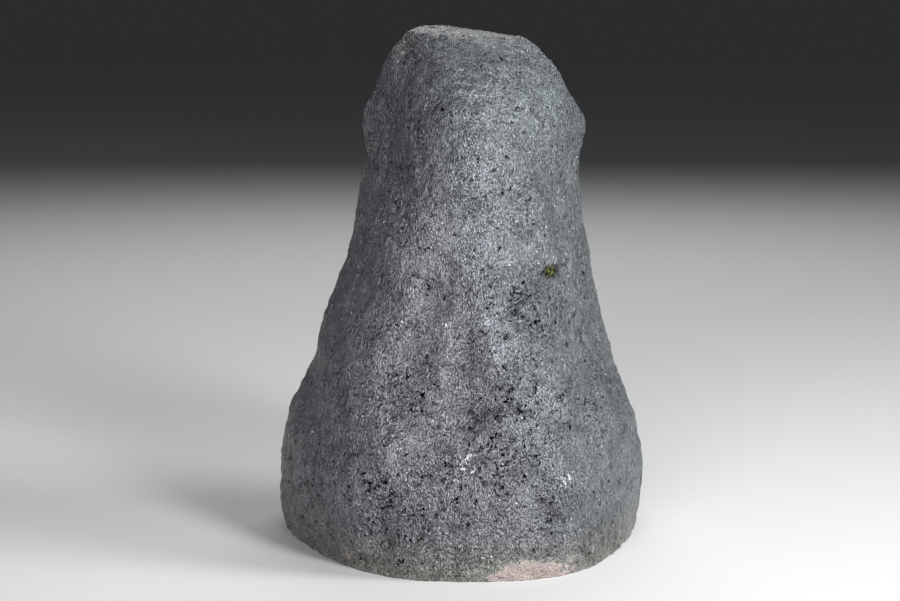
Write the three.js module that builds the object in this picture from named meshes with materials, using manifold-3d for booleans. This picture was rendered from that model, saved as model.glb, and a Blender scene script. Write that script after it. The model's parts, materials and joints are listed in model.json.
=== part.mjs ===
// A cathedral geode: a tall basalt bubble, sawn flat at the base and again across the front, so that
// it stands up and shows the amethyst lining its hollow. The back is left rough and rounded.
// Millimetres, +Z up. The sawn opening faces +Y, the rounded back -Y, and the origin is the middle
// of the base.

import * as THREE from 'three';
import { mergeVertices } from 'three/addons/utils/BufferGeometryUtils.js';
import Module from 'manifold-3d';

const wasm = await Module();
wasm.setup();

// ---------------------------------------------------------------- driving dimensions

const CROWN_HEIGHT = 212; // the last full ring of the rough body, below the crown
const FRONT_REACH = 61; // from the axis to the sawn front, at the base
const FRONT_LEAN = 0.075; // how far the sawn front leans back, per millimetre of height
const WIDEST_Y = 33; // the body is at its widest on this plane
const FRONT_BULGE = 62; // the whole bubble's reach in front of that plane, before the saw cut

// How square the body's outline is: 2 is an ellipse, less is more pointed. The foot's sharpness
// changes from its side to its back.
const FRONT_SHARPNESS = 2.4;
const BACK_SHARPNESS = 1.98;
const FOOT_SHARPNESS = { left: [1.5, 1.95], right: [1.68, 2.7] };
const FOOT_HEIGHTS = [8, 45]; // the foot's outline turns into the body's between these heights
const CLEAN_EDGE = 9; // the relief fades away over this height, down to the sawn base
const BACK_EDGE = 26; // and over this depth, towards the widest plane

const SIDE_WALL = 10; // rock left beside the hollow
const BACK_WALL = 17; // rock left behind the hollow
const HOLLOW_FLOOR = 24; // lowest point of the hollow
const HOLLOW_TOP = 194; // highest point of the hollow
const HOLLOW_SHARPNESS = 2.15; // how square it is in plan, as for the body
const HOLLOW_SQUARENESS = 2.8; // how square it is seen through the opening
const HOLLOW_TAPER = 0.8; // how fast its depth shrinks towards its floor and top, 1 being evenly
const FIT_GAP = 0.3; // between the rock and the crystal crust
const CRUST_BASE = 4.5; // solid quartz between the rock and the crystals' feet

const FRONT_OVERSHOOT = 12; // how far the hollow's solid runs on past the saw cut
const WALL_RINGS = 9; // rings of facets on the hollow's wall, from its back to the opening
const WALL_STRAY = 1.6; // how far the wall's corners stray in and out
const WALL_TRUE_FROM = 0.7; // share of the way to the opening from which they stray less and less
const DRUSE_RINGS = 19; // rings of small crystals and valleys in the bed
const DRUSE_HEIGHT = [4.2, 8]; // of the small crystals, above the crust's base
const VALLEY_HEIGHT = [0, 1.4]; // of the valleys between them

const CRYSTAL_COUNT = 24; // the larger crystals that stand above the bed
const CRYSTAL_RADIUS = [6, 10.5]; // smallest and largest, from the axis to a corner
const CRYSTAL_PRISM = [0.3, 0.8]; // height of the straight part, for each millimetre of radius
const CRYSTAL_TILT = 0.55; // how far they lean off square
const CRYSTAL_LIFT = 0.1; // and how much of that is upwards
const CRYSTAL_DIP = 0.3; // how far up or down they turn, towards half of the hollow's height
const CRYSTAL_RARITY = 1.5; // how rare the largest are, 1 being as common as the smallest
const CRYSTAL_REACH = 0.93; // how near the opening they grow, as a share of the way from the back
const TIP_SLOPE = 1.15; // height of a quartz tip for each millimetre of its radius
const FULL_TURN = 2 * Math.PI;
const GOLDEN_ANGLE = Math.PI * (3 - Math.sqrt(5));

// Facets of the rough body: columns round the back and the front, rows from the base to the crown.
const BACK_COLUMNS = 46;
const FRONT_COLUMNS = 14;
const BODY_ROWS = 34;
const ROW_STRAY = 2.4; // how far a corner strays up or down, from one extreme to the other
const COLUMN_STRAY = 0.05; // and round the body, in radians

// The body's reach at each height: to the left, to the right and to the back of the axis.
const PROFILE = [
  { z: 0, left: 76, right: 76.4, back: 59.5 },
  { z: 12, left: 79, right: 79.2, back: 61.5 },
  { z: 30, left: 77.4, right: 78.2, back: 60.5 },
  { z: 47, left: 73.6, right: 75.6, back: 57.5 },
  { z: 58, left: 70.2, right: 72.4, back: 54 },
  { z: 74, left: 62.6, right: 66.9, back: 48 },
  { z: 91, left: 56.2, right: 61.4, back: 41 },
  { z: 108, left: 50.4, right: 57.6, back: 35 },
  { z: 125, left: 46, right: 54.2, back: 29 },
  { z: 142, left: 42.5, right: 52, back: 24 },
  { z: 160, left: 39, right: 51.2, back: 19.5 },
  { z: 180, left: 36.8, right: 49.4, back: 12.5 },
  { z: 193, left: 32.6, right: 43.8, back: 6.5 },
  { z: 202, left: 28.6, right: 38.3, back: 0.5 },
  { z: CROWN_HEIGHT, left: 22.8, right: 31, back: -14 },
];

// The crown is not level. Its last few rows fall away to the right, ever faster from one place
// across, and rise to the front on the left. Its top is a low dome with two rings of facets.
const CROWN_ROWS = 16;
const CROWN_FALL = { from: -13, curve: 0.0018 };
const CROWN_RISE = { height: 2.6, front: 42, right: 22, left: -14 };
const CROWN_DOME = 1.1;
const CROWN_LUMPS = 0.3; // share of the body's lumps that is left on it
const CROWN_RINGS = [0.72, 0.36]; // as shares of its reach

// Long soft edges that run down the back, as points across and up, from the crown to the foot.
const RIDGES = [
  {
    name: 'left shoulder edge',
    line: [[-1, 196], [-8, 165], [-19, 135], [-27, 105], [-36, 70], [-42, 10]],
    wide: 13,
    out: 3.6,
  },
  {
    name: 'right shoulder edge',
    line: [[28, 196], [28, 150], [28, 112], [33, 75], [39, 50], [38, 10]],
    wide: 12,
    out: 2.2,
  },
];
const RIDGE_FOOT = [10, 40]; // heights between which the long edges fade in
const RIDGE_CROWN = [180, 204]; // and out

// Knobs (out > 0) and hollows (out < 0) on the rough back. lean tips a long one sideways.
const RELIEF = [
  { name: 'keel of the crown', x: 8, z: 174, wide: 15, tall: 34, lean: 0, out: 7.2 },
  { name: 'set back left of the crown', x: -31, z: 174, wide: 12, tall: 30, lean: 0, out: -4.6 },
  { name: 'left flank swell', x: -47, z: 92, wide: 15, tall: 40, lean: -0.2, out: 3.6 },
  { name: 'long valley', x: -8, z: 70, wide: 14, tall: 48, lean: -0.08, out: -5.6 },
  { name: 'right foot swell', x: 33, z: 34, wide: 18, tall: 18, lean: 0, out: 1.8 },
  { name: 'foot knob', x: 10, z: 15, wide: 10, tall: 9, lean: 0, out: 1.4 },
  { name: 'flat under the crown', x: -14, z: 186, wide: 11, tall: 18, lean: 0, out: -2.2 },
  { name: 'knob on the left neck', x: -5, z: 149, wide: 9, tall: 9, lean: 0, out: 1.6 },
  { name: 'dip beside the knob', x: -20, z: 156, wide: 8, tall: 11, lean: 0, out: -1.4 },
  { name: 'upper left swell', x: -22, z: 127, wide: 11, tall: 9, lean: 0, out: 0.8 },
  { name: 'dip below the swell', x: -13, z: 111, wide: 6, tall: 5, lean: 0, out: -1.9 },
  { name: 'slanting rib', x: -9, z: 81, wide: 6, tall: 24, lean: 0.36, out: 1.4 },
  { name: 'pocket left of the rib', x: -21, z: 69, wide: 6, tall: 8, lean: 0, out: -1.4 },
  { name: 'middle valley', x: 7, z: 82, wide: 7, tall: 28, lean: 0, out: -1.0 },
  { name: 'pocket in the valley', x: 20, z: 104, wide: 6.5, tall: 7, lean: 0, out: -2.4 },
  { name: 'hollow right of the middle', x: 22, z: 69, wide: 11, tall: 6, lean: 0, out: -1.6 },
  { name: 'lower middle hollow', x: 19, z: 47, wide: 11, tall: 9, lean: 0, out: -2.0 },
  { name: 'lower middle knob', x: 0, z: 48, wide: 10, tall: 5, lean: 0, out: 1.4 },
  { name: 'lower left knob', x: -26, z: 40, wide: 9, tall: 7, lean: 0, out: 2.0 },
  { name: 'lower left dip', x: -15, z: 26, wide: 9, tall: 4, lean: 0, out: -1.4 },
  { name: 'slanting groove', x: 35, z: 27, wide: 4, tall: 9, lean: -0.9, out: -2.4 },
  { name: 'knob by the groove', x: 44, z: 31, wide: 8, tall: 8, lean: 0, out: 1.2 },
  { name: 'lower right hollow', x: 66, z: 33, wide: 13, tall: 14, lean: 0, out: -2.2 },
  { name: 'right neck dip', x: 44, z: 146, wide: 6, tall: 18, lean: 0, out: -1.6 },
  { name: 'left corner', x: -72, z: 51, wide: 12, tall: 6, lean: 0, out: 0.9 },
];

// Patches of the back where gas bubbles have left pits, and the share of the surface they take.
const PITTED = [
  { x: 22, z: 106, radius: 11, share: 0.4 },
  { x: -20, z: 76, radius: 13, share: 0.4 },
  { x: 20, z: 68, radius: 17, share: 0.45 },
  { x: 20, z: 45, radius: 17, share: 0.45 },
  { x: -33, z: 40, radius: 16, share: 0.35 },
  { x: -24, z: 22, radius: 13, share: 0.3 },
  { x: 56, z: 62, radius: 20, share: 0.25 },
  { x: 52, z: 14, radius: 14, share: 0.3 },
];
const PIT_DEPTH = [1.33, 2.47];

// Where the sawn rim spreads past the body behind it, at the shoulders.
const SHOULDER_LIPS = [
  { side: -1, z: 176, tall: 7.5, out: 5.8 },
  { side: 1, z: 171.5, tall: 9, out: 6.6 },
];
const LIP_DEPTH = 14; // a lip starts this far behind the widest plane
const LIP_FULL = 2; // and is full this far behind the sawn front

// Low waves of unequal length that cross each other, as on any weathered rock.
const WAVE_COUNT = 7;
const LONGEST_WAVE = 46;
const WAVE_STEP = 0.76; // each wave's length, for the length of the one before
const WAVE_HEIGHT = 0.01155; // for its length

// ---------------------------------------------------------------- numbers that look random

// The same share from 0 to 1 for the same seed, every time.
function chance(seed) {
  const swirl = Math.sin(seed * 12.9898 + 4.1414) * 43758.5453;
  return swirl - Math.floor(swirl);
}

function between([low, high], share) {
  return low + (high - low) * share;
}

function stray(seed) {
  return chance(seed) - 0.5;
}

function smooth(low, high, value) {
  const share = Math.min(1, Math.max(0, (value - low) / (high - low)));
  return share * share * (3 - 2 * share);
}

const WAVES = Array.from({ length: WAVE_COUNT }, (_, i) => {
  const length = LONGEST_WAVE * WAVE_STEP ** i;
  const turn = i * GOLDEN_ANGLE;
  const rise = 2 * chance(i + 3) - 1;
  const flat = Math.sqrt(1 - rise * rise);
  return {
    way: new THREE.Vector3(Math.cos(turn) * flat, Math.sin(turn) * flat, rise)
      .multiplyScalar(FULL_TURN / length),
    start: FULL_TURN * chance(i + 40),
    height: WAVE_HEIGHT * length,
  };
});

function lumps(point) {
  return WAVES.reduce((sum, w) => sum + w.height * Math.sin(point.dot(w.way) + w.start), 0);
}

// ---------------------------------------------------------------- the rough body

// The body's reach at any height, on a smooth curve through the profile's rows.
function reachAt(z) {
  const rows = PROFILE;
  const last = rows.length - 1;
  let i = 0;
  while (i < last - 1 && z > rows[i + 1].z) i += 1;
  const [a, b] = [rows[i], rows[i + 1]];
  const [before, after] = [rows[Math.max(0, i - 1)], rows[Math.min(last, i + 2)]];
  const span = b.z - a.z;
  const t = Math.min(1, Math.max(0, (z - a.z) / span));
  const reach = {};
  for (const side of ['left', 'right', 'back']) {
    const slopeA = (b[side] - before[side]) / (b.z - before.z) * span;
    const slopeB = (after[side] - a[side]) / (after.z - a.z) * span;
    reach[side] = a[side] * (1 + 2 * t) * (1 - t) ** 2 + slopeA * t * (1 - t) ** 2
      + b[side] * t * t * (3 - 2 * t) - slopeB * t * t * (1 - t);
  }
  return reach;
}

// The sawn front's place at a height.
function frontAt(z) {
  return FRONT_REACH - FRONT_LEAN * z;
}

// Half of an outline of the given sharpness, from a sine or cosine.
function rounded(share, sharpness) {
  return Math.sign(share) * Math.abs(share) ** (2 / sharpness);
}

function reliefAt(x, z) {
  return RELIEF.reduce((sum, r) => {
    const across = (x - r.x - r.lean * (z - r.z)) / r.wide;
    const along = (z - r.z) / r.tall;
    return sum + r.out * Math.exp(-across * across - along * along);
  }, 0);
}

function ridgeAt(x, z) {
  return RIDGES.reduce((sum, ridge) => {
    const below = Math.max(1, ridge.line.findIndex(([, level]) => level < z));
    const [[x0, z0], [x1, z1]] = ridge.line.slice(below - 1, below + 1);
    const across = (x - x0 - ((x1 - x0) * (z - z0)) / (z1 - z0)) / ridge.wide;
    const ends = smooth(...RIDGE_FOOT, z) * (1 - smooth(...RIDGE_CROWN, z));
    return sum + ends * ridge.out * Math.exp(-across * across);
  }, 0);
}

function pitAt(x, z, seed) {
  const patch = PITTED.find((p) => Math.hypot(x - p.x, z - p.z) < p.radius);
  return patch && chance(seed) < patch.share ? between(PIT_DEPTH, chance(seed + 0.5)) : 0;
}

function lipAt(side, y, z) {
  const lip = SHOULDER_LIPS.find((one) => one.side === side);
  if (!lip) return 0;
  const along = (z - lip.z) / lip.tall;
  return lip.out * Math.exp(-along * along) * smooth(WIDEST_Y - LIP_DEPTH, frontAt(z) - LIP_FULL, y);
}

// How far the crown's tilt lifts a point.
function crownAt(x, y, z) {
  const share = smooth(CROWN_HEIGHT - CROWN_ROWS, CROWN_HEIGHT, z);
  const fall = CROWN_FALL.curve * Math.max(0, x - CROWN_FALL.from) ** 2;
  const rise = CROWN_RISE.height * smooth(0, CROWN_RISE.front, y)
    * smooth(CROWN_RISE.right, CROWN_RISE.left, x);
  return share * (rise - fall);
}

// A point of the rough surface. Angle 0 is to the right, a quarter turn is to the front.
function bodyPoint(angle, z, seed) {
  const reach = reachAt(z);
  const [c, s] = [Math.cos(angle), Math.sin(angle)];
  const footSharpness = between(c > 0 ? FOOT_SHARPNESS.right : FOOT_SHARPNESS.left, s * s);
  const backSharpness = between([footSharpness, BACK_SHARPNESS], smooth(...FOOT_HEIGHTS, z));
  const sharpness = s > 0 ? FRONT_SHARPNESS : backSharpness;
  const half = c > 0 ? reach.right : reach.left;
  const x = half * rounded(c, sharpness);
  const y = WIDEST_Y + (s > 0 ? FRONT_BULGE : reach.back + WIDEST_Y) * rounded(s, sharpness);
  const point = new THREE.Vector3(x, y, z);
  const outward = new THREE.Vector3(c / half, s / (reach.back + WIDEST_Y), 0).normalize();
  const onBack = 1 - smooth(WIDEST_Y - BACK_EDGE, WIDEST_Y, y);
  const detail = ridgeAt(x, z) + reliefAt(x, z) - pitAt(x, z, seed);
  const out = smooth(0, CLEAN_EDGE, z) * (lumps(point) + onBack * detail) + lipAt(Math.sign(x), y, z);
  point.addScaledVector(outward, out);
  point.z += crownAt(point.x, point.y, z);
  return point;
}

// ---------------------------------------------------------------- closed surfaces from rings

// Joins rings of points, lowest first, and closes both ends on a middle point.
function loft(rings, lowMiddle, highMiddle) {
  const count = rings[0].length;
  const corners = [...rings.flat(), lowMiddle, highMiddle].flatMap((p) => p.toArray());
  const [low, high] = [rings.length * count, rings.length * count + 1];
  const faces = [];
  for (let i = 0; i < count; i += 1) {
    const j = (i + 1) % count;
    faces.push(low, j, i, high, (rings.length - 1) * count + i, (rings.length - 1) * count + j);
    for (let r = 0; r + 1 < rings.length; r += 1) {
      const [a, b, c, d] = [r * count + i, r * count + j, (r + 1) * count + j, (r + 1) * count + i];
      if ((i + r) % 2) faces.push(a, b, c, a, c, d);
      else faces.push(a, b, d, b, c, d);
    }
  }
  const geometry = new THREE.BufferGeometry();
  geometry.setAttribute('position', new THREE.Float32BufferAttribute(corners, 3));
  geometry.setIndex(faces);
  return geometry;
}

// Angles around a ring: close together round the back, further apart at the front.
function ringAngles(backCount, frontCount) {
  const back = Array.from({ length: backCount }, (_, i) => Math.PI + (Math.PI * i) / backCount);
  const front = Array.from({ length: frontCount }, (_, i) => (Math.PI * i) / frontCount);
  return [...front, ...back];
}

function solidOf(geometry) {
  const bare = geometry.clone();
  bare.deleteAttribute('normal');
  bare.deleteAttribute('uv');
  const merged = mergeVertices(bare, 1e-4);
  return new wasm.Manifold(new wasm.Mesh({
    numProp: 3,
    vertProperties: merged.attributes.position.array,
    triVerts: new Uint32Array(merged.index.array),
  }));
}

function geometryOf(solid) {
  const mesh = solid.getMesh();
  const geometry = new THREE.BufferGeometry();
  geometry.setAttribute('position', new THREE.BufferAttribute(new Float32Array(mesh.vertProperties), 3));
  geometry.setIndex(new THREE.BufferAttribute(new Uint32Array(mesh.triVerts), 1));
  return geometry;
}

function roughBody() {
  const angles = ringAngles(BACK_COLUMNS, FRONT_COLUMNS);
  const rings = Array.from({ length: BODY_ROWS + 1 }, (_, row) => {
    const level = CROWN_HEIGHT * (row / BODY_ROWS);
    const isLoose = row > 0 && row < BODY_ROWS; // the first and last rings stay level
    return angles.map((angle, column) => {
      const seed = row * 97 + column;
      const z = level + (isLoose ? ROW_STRAY * stray(seed) : 0);
      return bodyPoint(angle + COLUMN_STRAY * stray(seed + 0.3), z, seed);
    });
  });
  const rim = rings[BODY_ROWS];
  const middle = rim.reduce((sum, p) => sum.add(p), new THREE.Vector3()).divideScalar(rim.length);
  const crown = CROWN_RINGS.map((share) => rim.map((p) => {
    const q = middle.clone().lerp(p, share);
    q.z = CROWN_HEIGHT + CROWN_DOME * (1 - share ** 2) + crownAt(q.x, q.y, CROWN_HEIGHT)
      + CROWN_LUMPS * lumps(q);
    return q;
  }));
  const top = new THREE.Vector3(middle.x, middle.y, crown[1].reduce((sum, p) => sum + p.z, 0) / rim.length);
  return solidOf(loft([...rings, ...crown], new THREE.Vector3(0, 0, 0), top));
}

// Everything in front of the saw cut, as one block that is larger than the stone.
function sawnAway() {
  const size = 2 * CROWN_HEIGHT;
  const block = new THREE.BoxGeometry(size, size, 2 * size);
  block.translate(0, size / 2, 0);
  block.rotateX(Math.atan(FRONT_LEAN));
  block.translate(0, FRONT_REACH, 0);
  return solidOf(block);
}

// ---------------------------------------------------------------- the hollow

// A disc of points in six-sided rings, each point joined to its six neighbours.
function disc(ringCount) {
  const points = [];
  const place = new Map();
  const steps = Array.from({ length: 2 * ringCount + 2 }, (_, i) => i - ringCount - 1);
  const cells = steps.flatMap((q) => steps.map((r) => [q, r]));
  for (const [q, r] of cells) {
    const ring = Math.max(Math.abs(q), Math.abs(r), Math.abs(q + r));
    if (ring > ringCount) continue;
    place.set(`${q} ${r}`, points.length);
    const turn = Math.atan2(r * Math.sqrt(0.75), q + r / 2);
    points.push({ share: ring / ringCount, turn, isTip: (q - r + 3 * ringCount) % 3 === 0 });
  }
  const faces = cells.flatMap(([q, r]) => {
    const corner = (i, j) => place.get(`${q + i} ${r + j}`);
    const pair = [
      [corner(0, 0), corner(1, 0), corner(0, 1)],
      [corner(1, 0), corner(1, 1), corner(0, 1)],
    ];
    return pair.filter((face) => !face.includes(undefined)).flat();
  });
  return { points, faces };
}

// A point of the hollow's wall, seen from the middle of the opening. share runs from 0 at the very
// back to 1 at the opening, turn goes round it, and inset brings the wall inwards.
function hollowPoint(share, turn, inset) {
  const open = (Math.PI / 2) * share;
  const level = Math.sin(open) * Math.sin(turn);
  const fullness = (1 - Math.abs(level) ** HOLLOW_SQUARENESS) ** (1 / HOLLOW_SQUARENESS);
  const across = Math.atan2(Math.cos(open), Math.sin(open) * Math.cos(turn));
  const middle = (HOLLOW_FLOOR + HOLLOW_TOP) / 2;
  const z = middle + ((HOLLOW_TOP - HOLLOW_FLOOR) / 2 - inset) * level;
  const reach = reachAt(z);
  const half = (Math.cos(across) > 0 ? reach.right : reach.left) - SIDE_WALL - inset;
  const depth = frontAt(z) + reach.back - BACK_WALL - inset;
  const x = half * fullness * rounded(Math.cos(across), HOLLOW_SHARPNESS);
  const y = frontAt(z) - depth * fullness ** HOLLOW_TAPER * rounded(Math.sin(across), HOLLOW_SHARPNESS);
  return new THREE.Vector3(x, y, z);
}

// A solid of the hollow's space, carried on past the sawn front. place gives each point its share,
// turn and inset.
function hollowSolid(ringCount, place) {
  const { points, faces } = disc(ringCount);
  const wall = points.map((p, i) => hollowPoint(...place(p, i)));
  const edge = points.map((p, i) => i).filter((i) => points[i].share === 1)
    .sort((i, j) => points[i].turn - points[j].turn);
  const beyond = edge.map((i) => wall[i].clone().setY(wall[i].y + FRONT_OVERSHOOT));
  const middle = beyond.reduce((sum, p) => sum.add(p), new THREE.Vector3()).divideScalar(edge.length);
  const centre = wall.length + beyond.length;
  edge.forEach((here, i) => {
    const next = (i + 1) % edge.length;
    const [hereOut, nextOut] = [wall.length + i, wall.length + next];
    faces.push(edge[next], here, hereOut, edge[next], hereOut, nextOut, nextOut, hereOut, centre);
  });
  const corners = [...wall, ...beyond, middle].flatMap((p) => p.toArray());
  const geometry = new THREE.BufferGeometry();
  geometry.setAttribute('position', new THREE.Float32BufferAttribute(corners, 3));
  geometry.setIndex(faces);
  return solidOf(geometry);
}

// The wall between rock and crust: the crust's own wall is drawn in by the fit gap.
function wallSolid(inset) {
  return hollowSolid(WALL_RINGS, (p, i) => {
    const uneven = WALL_STRAY * stray(i + 0.9) * smooth(1, WALL_TRUE_FROM, p.share);
    return [p.share, p.turn, inset + uneven];
  });
}

// ---------------------------------------------------------------- the amethyst crust

// The hollow that is left inside a bed of quartz points, shoulder to shoulder: every third place
// of the disc is a tip, and its six neighbours are the valleys round it.
function druseSolid() {
  const loose = 0.5 / DRUSE_RINGS; // half the way from one ring to the next
  return hollowSolid(DRUSE_RINGS, (p, i) => {
    const height = p.isTip
      ? between(DRUSE_HEIGHT, chance(i + 0.2))
      : between(VALLEY_HEIGHT, chance(i + 0.4));
    const share = p.share === 1 ? 1 : p.share + loose * stray(i + 0.6);
    const turn = p.turn + (loose * stray(i + 0.8)) / Math.max(share, loose);
    return [Math.min(1, Math.abs(share)), turn, FIT_GAP + CRUST_BASE + height];
  });
}

// A six-sided quartz crystal standing on the origin along +Z: a short prism and a blunt tip.
function crystalGeometry(radius, prism, root) {
  const outline = [
    new THREE.Vector2(0, -root),
    new THREE.Vector2(radius, -root),
    new THREE.Vector2(radius, prism),
    new THREE.Vector2(0, prism + radius * TIP_SLOPE),
  ];
  const geometry = new THREE.LatheGeometry(outline, 6);
  geometry.rotateX(Math.PI / 2);
  return geometry;
}

// One of the larger crystals, growing from the wall towards the middle of the opening, off square.
function largeCrystal(number) {
  const share = CRYSTAL_REACH * Math.sqrt((number + 0.5) / CRYSTAL_COUNT);
  const foot = hollowPoint(share, number * GOLDEN_ANGLE, FIT_GAP + CRUST_BASE);
  const aim = new THREE.Vector3(0, frontAt(foot.z), between([foot.z, HOLLOW_TOP / 2], CRYSTAL_DIP));
  const inward = aim.sub(foot).normalize();
  inward.x += CRYSTAL_TILT * stray(number + 0.1);
  inward.y += CRYSTAL_TILT * stray(number + 0.2);
  inward.z += CRYSTAL_TILT * (stray(number + 0.4) + CRYSTAL_LIFT);
  const radius = between(CRYSTAL_RADIUS, chance(number + 0.6) ** CRYSTAL_RARITY);
  const prism = radius * between(CRYSTAL_PRISM, chance(number + 0.7));
  const geometry = crystalGeometry(radius, prism, CRUST_BASE / 2);
  geometry.rotateZ(FULL_TURN * chance(number + 0.8));
  geometry.applyQuaternion(
    new THREE.Quaternion().setFromUnitVectors(new THREE.Vector3(0, 0, 1), inward.normalize()),
  );
  geometry.translate(foot.x, foot.y, foot.z);
  return solidOf(geometry);
}

// Crystals that lean together can close off a small void, which is solid quartz in a real crust.
function withoutVoids(solid) {
  return solid.decompose().reduce((best, body) => (body.volume() > best.volume() ? body : best));
}

function crustSolid() {
  const outside = wallSolid(FIT_GAP);
  const bed = outside.subtract(druseSolid());
  const crystals = Array.from({ length: CRYSTAL_COUNT }, (_, i) => largeCrystal(i));
  const grown = crystals.reduce((sum, one) => sum.add(one), bed);
  return withoutVoids(grown.intersect(outside).subtract(sawnAway()));
}

// ---------------------------------------------------------------- the geode

function piece(name, solid, material) {
  const mesh = new THREE.Mesh(geometryOf(solid), material);
  mesh.name = name;
  return mesh;
}

const basaltPaint = new THREE.MeshStandardMaterial({ color: 0x5d5f63, roughness: 0.6, metalness: 0 });
const amethyst = new THREE.MeshStandardMaterial({ color: 0x6a3d9a, roughness: 0.12, metalness: 0 });

const geode = new THREE.Group();
geode.add(
  piece('rock', roughBody().subtract(sawnAway()).subtract(wallSolid(0)), basaltPaint),
  piece('amethyst_crust', crustSolid(), amethyst),
);

// The origin is under the middle of the finished stone.
const bounds = new THREE.Box3().setFromObject(geode);
const middle = bounds.getCenter(new THREE.Vector3());
geode.position.set(-middle.x, -middle.y, -bounds.min.z);

export default geode;
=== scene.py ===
import json
import math
from bisect import bisect
from random import Random

import bmesh
import bpy
from mathutils import Matrix, Vector, noise
from mathutils.bvhtree import BVHTree

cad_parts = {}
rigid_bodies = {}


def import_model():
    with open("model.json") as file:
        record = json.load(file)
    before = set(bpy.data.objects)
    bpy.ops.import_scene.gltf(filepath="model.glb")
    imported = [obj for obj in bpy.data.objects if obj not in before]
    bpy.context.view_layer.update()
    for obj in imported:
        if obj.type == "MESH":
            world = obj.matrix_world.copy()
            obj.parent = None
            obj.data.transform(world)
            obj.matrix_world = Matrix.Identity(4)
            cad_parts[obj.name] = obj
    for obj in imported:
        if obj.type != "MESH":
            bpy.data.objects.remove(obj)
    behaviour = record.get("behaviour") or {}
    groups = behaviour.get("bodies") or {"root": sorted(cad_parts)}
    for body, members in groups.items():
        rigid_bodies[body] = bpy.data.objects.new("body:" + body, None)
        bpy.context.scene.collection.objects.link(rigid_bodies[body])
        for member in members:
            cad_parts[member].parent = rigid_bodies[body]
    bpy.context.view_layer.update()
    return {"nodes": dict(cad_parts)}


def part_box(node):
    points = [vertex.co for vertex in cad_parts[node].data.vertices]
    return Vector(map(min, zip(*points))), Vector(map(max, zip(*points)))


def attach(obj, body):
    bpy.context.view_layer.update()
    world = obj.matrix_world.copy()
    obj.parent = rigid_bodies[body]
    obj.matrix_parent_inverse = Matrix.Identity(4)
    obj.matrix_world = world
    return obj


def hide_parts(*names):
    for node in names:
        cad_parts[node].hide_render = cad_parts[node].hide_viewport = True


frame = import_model()

# ---------------------------------------------------------------- camera
# A long lens, a little above the stone and square to its rounded back. The sawn side with the
# crystals is turned away from it.

CAMERA_PLACE = Vector((0.0043, -0.8179, 0.226))
CAMERA_TURN = math.radians(0.57)
CAMERA_DIP = math.radians(8.57)
CAMERA_ROLL = math.radians(-0.35)
LENS_LENGTH = 80  # millimetres, and the width that it draws on
LENS_WIDTH = 36

camera_data = bpy.data.cameras.new("camera")
camera_data.lens = LENS_LENGTH
camera_data.sensor_width = LENS_WIDTH
camera = bpy.data.objects.new("camera", camera_data)
camera.matrix_world = (
    Matrix.Translation(CAMERA_PLACE)
    @ Matrix.Rotation(CAMERA_TURN, 4, "Z")
    @ Matrix.Rotation(math.pi / 2 - CAMERA_DIP, 4, "X")
    @ Matrix.Rotation(CAMERA_ROLL, 4, "Z")
)
bpy.context.scene.collection.objects.link(camera)
bpy.context.scene.camera = camera
bpy.context.scene.view_settings.view_transform = "Standard"

# ---------------------------------------------------------------- floor and light
# A pale matt table in a dim room. A tall soft box stands to the right of the camera, a low one to its
# left and a third at the stone's right, all with grids that keep their light off the table near them.
# A large open one hangs across the table and lights the sawn side.

TABLE_RADIUS = 6.0
TABLE_SIDES = 96
TABLE_COLOUR = (0.48, 0.475, 0.465, 1)
ROOM_LOW = (0.024, 0.025, 0.027, 1)
ROOM_HIGH = (0.060, 0.063, 0.070, 1)
STONE_MIDDLE = Vector((0, 0, 0.1))

# The turn is to the right of the camera's side of the stone and the rise above the table. They and the
# spread are in degrees.
SOFT_BOXES = {
    "tall": {
        "turn": 36, "rise": 20, "spread": 110, "away": 1.0, "size": (0.2, 0.75),
        "watts": 6.2, "tint": (0.965, 0.98, 1),
    },
    "low": {
        "turn": -14, "rise": 12, "spread": 110, "away": 1.0, "size": (0.45, 0.4),
        "watts": 4.2, "tint": (0.99, 0.97, 1),
    },
    "side": {
        "turn": 76, "rise": 26, "spread": 110, "away": 1.0, "size": (0.35, 0.6),
        "watts": 4.9, "tint": (0.94, 0.98, 1),
    },
    "sawn side": {
        "turn": 176, "rise": 42, "spread": 180, "away": 1.4, "size": (1.1, 0.8),
        "watts": 11, "tint": (1, 1, 1),
    },
}


def node_material(name):
    """A new material, and its empty tree of nodes."""
    material = bpy.data.materials.new(name)
    material.use_nodes = True
    material.node_tree.nodes.clear()
    return material, material.node_tree


def add_node(tree, kind, inputs=None, **settings):
    """Adds a shader node, with its inputs set to values or joined to other nodes' outputs."""
    node = tree.nodes.new(kind)
    for name, value in settings.items():
        setattr(node, name, value)
    for name, value in (inputs or {}).items():
        if isinstance(value, bpy.types.NodeSocket):
            tree.links.new(value, node.inputs[name])
        else:
            node.inputs[name].default_value = value
    return node


table_mesh = bpy.data.meshes.new("table_top")
table_shape = bmesh.new()
bmesh.ops.create_circle(table_shape, cap_ends=True, radius=TABLE_RADIUS, segments=TABLE_SIDES)
table_shape.to_mesh(table_mesh)
table_shape.free()
table_top = bpy.data.objects.new("table_top", table_mesh)
bpy.context.scene.collection.objects.link(table_top)
table_paint, tree = node_material("table_paint")
surface = add_node(tree, "ShaderNodeBsdfPrincipled", {
    "Base Color": TABLE_COLOUR, "Roughness": 0.9, "Specular IOR Level": 0.1,
})
add_node(tree, "ShaderNodeOutputMaterial", {"Surface": surface.outputs[0]})
table_mesh.materials.append(table_paint)

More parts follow.
